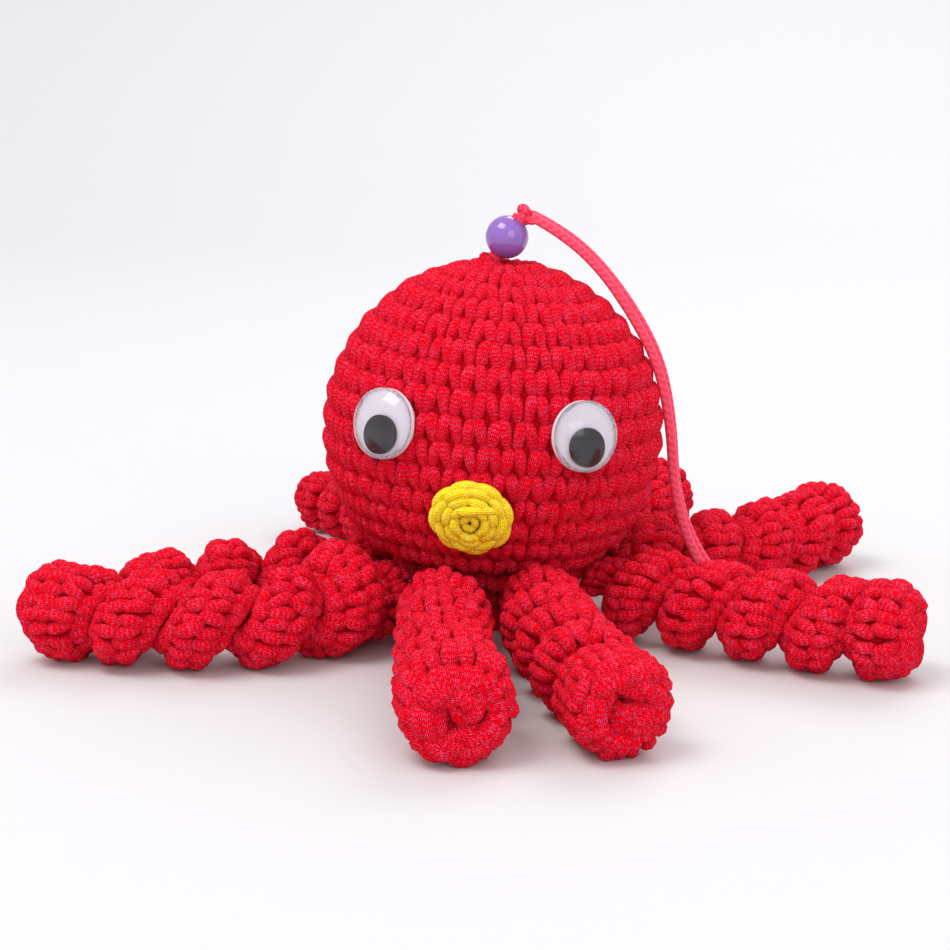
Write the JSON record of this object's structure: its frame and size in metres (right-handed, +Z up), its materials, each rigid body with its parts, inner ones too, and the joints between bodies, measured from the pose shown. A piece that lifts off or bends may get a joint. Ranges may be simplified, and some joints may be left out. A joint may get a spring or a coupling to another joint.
{
  "type": "crochet octopus ornament",
  "caption": "Hanging crocheted octopus charm: stuffed ball head, googly eyes, rosette mouth, curly corkscrew tentacles that droop, and a bead and cord loop on top.",
  "frame": {"origin": "centre of the flat on the underside of the base disc, on the surface the octopus lies on", "axes": "+Z up; the face looks along -Y; +X is on the right of somebody looking at the face"},
  "size_m": [0.1518, 0.1556, 0.075],
  "materials": {
    "red_yarn": "crocheted tube yarn with a soft sheen",
    "fibre_filling": "loose fibre",
    "red_cord": "thin braided cord",
    "yellow_yarn": "crocheted yarn",
    "purple_bead": "glossy",
    "eye_white": "satin white",
    "clear_plastic": "clear moulded dome",
    "pupil_black": "satin black",
    "clear_glue": "translucent"
  },
  "bodies": {
    "head": {"head_shell": "red_yarn", "head_filling": "fibre_filling", "base_disc": "red_yarn", "joining_round": "red_yarn", "cord_stem": "red_cord", "stopper_knot": "red_cord", "top_knot": "red_cord", "eye_left_glue": "clear_glue", "eye_left_back": "eye_white", "eye_left_dome": "clear_plastic", "eye_right_glue": "clear_glue", "eye_right_back": "eye_white", "eye_right_dome": "clear_plastic", "mouth_sewing_yarn": "yellow_yarn", "mouth_rosette": "yellow_yarn"},
    "bead": {"bead": "purple_bead"},
    "loop": {"hanging_cord": "red_cord"},
    "pupil_left": {"eye_left_pupil": "pupil_black"},
    "pupil_right": {"eye_right_pupil": "pupil_black"},
    "tentacle_front_left": {"tentacle_front_left": "red_yarn"},
    "tentacle_front_right": {"tentacle_front_right": "red_yarn"},
    "tentacle_right_front": {"tentacle_right_front": "red_yarn"},
    "tentacle_right_rear": {"tentacle_right_rear": "red_yarn"},
    "tentacle_rear_right": {"tentacle_rear_right": "red_yarn"},
    "tentacle_rear_left": {"tentacle_rear_left": "red_yarn"},
    "tentacle_left_rear": {"tentacle_left_rear": "red_yarn"},
    "tentacle_left_front": {"tentacle_left_front": "red_yarn"}
  },
  "joints": [
    {"name": "tentacle_front_left_lift", "type": "hinge", "parent": "head", "child": "tentacle_front_left", "pos_m": [-0.00664, -0.02045, 0.0085], "axis": [-0.9949, -0.101, 0], "range_deg": [-55, 20]},
    {"name": "tentacle_front_right_lift", "type": "hinge", "parent": "head", "child": "tentacle_front_right", "pos_m": [0.00909, -0.01949, 0.0085], "axis": [-0.9695, -0.2452, 0], "range_deg": [-55, 20]},
    {"name": "tentacle_right_front_lift", "type": "hinge", "parent": "head", "child": "tentacle_right_front", "pos_m": [0.01949, -0.00909, 0.0085], "axis": [-0.4795, -0.8776, 0], "range_deg": [-55, 20]},
    {"name": "tentacle_right_rear_lift", "type": "hinge", "parent": "head", "child": "tentacle_right_rear", "pos_m": [0.0202, 0.00735, 0.0085], "axis": [0.6271, -0.779, 0], "range_deg": [-55, 20]},
    {"name": "tentacle_rear_right_lift", "type": "hinge", "parent": "head", "child": "tentacle_rear_right", "pos_m": [0.00909, 0.01949, 0.0085], "axis": [0.8996, -0.4368, 0], "range_deg": [-55, 20]},
    {"name": "tentacle_rear_left_lift", "type": "hinge", "parent": "head", "child": "tentacle_rear_left", "pos_m": [-0.00909, 0.01949, 0.0085], "axis": [0.8277, 0.5611, 0], "range_deg": [-55, 20]},
    {"name": "tentacle_left_rear_lift", "type": "hinge", "parent": "head", "child": "tentacle_left_rear", "pos_m": [-0.02077, 0.00556, 0.0085], "axis": [-0.5612, 0.8277, 0], "range_deg": [-55, 10]},
    {"name": "tentacle_left_front_lift", "type": "hinge", "parent": "head", "child": "tentacle_left_front", "pos_m": [-0.01782, -0.01202, 0.0085], "axis": [-0.374, 0.9274, 0], "range_deg": [-35, 20]},
    {"name": "pupil_left_roll", "type": "hinge", "parent": "head", "child": "pupil_left", "pos_m": [-0.01709, -0.02592, 0.04031], "axis": [-0.5426, -0.8229, 0.1685], "continuous": true},
    {"name": "pupil_right_roll", "type": "hinge", "parent": "head", "child": "pupil_right", "pos_m": [0.01723, -0.02613, 0.03857], "axis": [0.5469, -0.8295, 0.1132], "continuous": true},
    {"name": "bead_spin", "type": "hinge", "parent": "head", "child": "bead", "pos_m": [0.00245, 0, 0.06907], "axis": [0.515, 0, 0.8572], "continuous": true},
    {"name": "loop_swing", "type": "hinge", "parent": "head", "child": "loop", "pos_m": [0.00518, 0, 0.07361], "axis": [0, -1, 0], "range_deg": [0, 150]}
  ]
}
